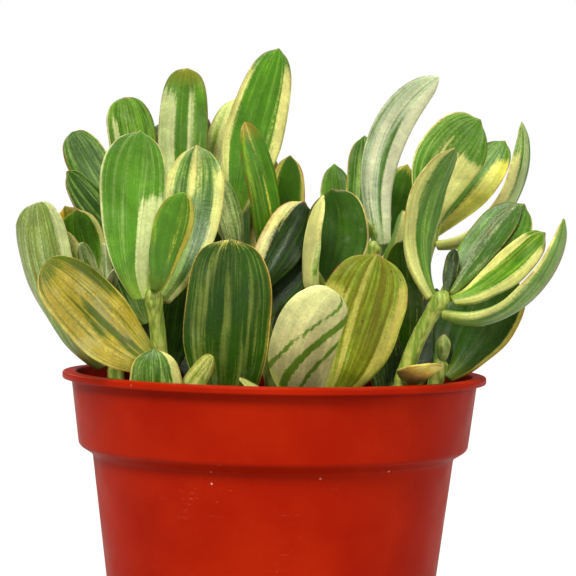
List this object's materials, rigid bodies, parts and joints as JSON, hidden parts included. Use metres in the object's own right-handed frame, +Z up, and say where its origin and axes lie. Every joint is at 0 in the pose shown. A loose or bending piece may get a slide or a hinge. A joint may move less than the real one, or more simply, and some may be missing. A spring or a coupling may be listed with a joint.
{
  "type": "potted jade plant",
  "caption": "Variegated jade plant with thick paddle-shaped leaves on short stems, growing in soil in a thin round plastic nursery pot with a collar.",
  "frame": {"origin": "centre of the pot's flat underside", "axes": "+Z up through the pot's axis; +X to the viewer's right and -Y towards the viewer when the plant's front is seen"},
  "size_m": [0.1326, 0.108, 0.173],
  "materials": {
    "pot": "satin",
    "soil": "matte",
    "stem": "satin",
    "leaf": "satin"
  },
  "bodies": {
    "root": {"pot": "pot", "soil": "soil", "stem_left_front": "stem", "leaf_left_front_1": "leaf", "leaf_left_front_2": "leaf", "leaf_left_front_3": "leaf", "leaf_left_front_4": "leaf", "leaf_left_front_5": "leaf", "stem_far_left": "stem", "leaf_far_left_1": "leaf", "leaf_far_left_2": "leaf", "leaf_far_left_3": "leaf", "leaf_far_left_4": "leaf", "stem_back_left": "stem", "leaf_back_left_1": "leaf", "leaf_back_left_2": "leaf", "leaf_back_left_3": "leaf", "leaf_back_left_4": "leaf", "leaf_back_left_5": "leaf", "leaf_back_left_6": "leaf", "stem_back_middle": "stem", "leaf_back_middle_1": "leaf", "leaf_back_middle_2": "leaf", "leaf_back_middle_3": "leaf", "leaf_back_middle_4": "leaf", "stem_centre": "stem", "leaf_centre_1": "leaf", "leaf_centre_2": "leaf", "leaf_centre_3": "leaf", "leaf_centre_4": "leaf", "leaf_centre_5": "leaf", "stem_middle_front": "stem", "leaf_middle_front_1": "leaf", "leaf_middle_front_2": "leaf", "stem_front": "stem", "leaf_front_1": "leaf", "leaf_front_2": "leaf", "leaf_front_3": "leaf", "leaf_front_4": "leaf", "stem_back_right_middle": "stem", "leaf_back_right_middle_1": "leaf", "leaf_back_right_middle_2": "leaf", "leaf_back_right_middle_3": "leaf", "leaf_back_right_middle_4": "leaf", "leaf_back_right_middle_5": "leaf", "leaf_back_right_middle_6": "leaf", "stem_back_right": "stem", "leaf_back_right_1": "leaf", "leaf_back_right_2": "leaf", "leaf_back_right_3": "leaf", "leaf_back_right_4": "leaf", "stem_right_front": "stem", "leaf_right_front_1": "leaf", "leaf_right_front_2": "leaf", "leaf_right_front_3": "leaf", "leaf_right_front_4": "leaf", "leaf_right_front_5": "leaf", "stem_right_low": "stem", "leaf_right_low_1": "leaf", "leaf_right_low_2": "leaf"}
  },
  "joints": []
}
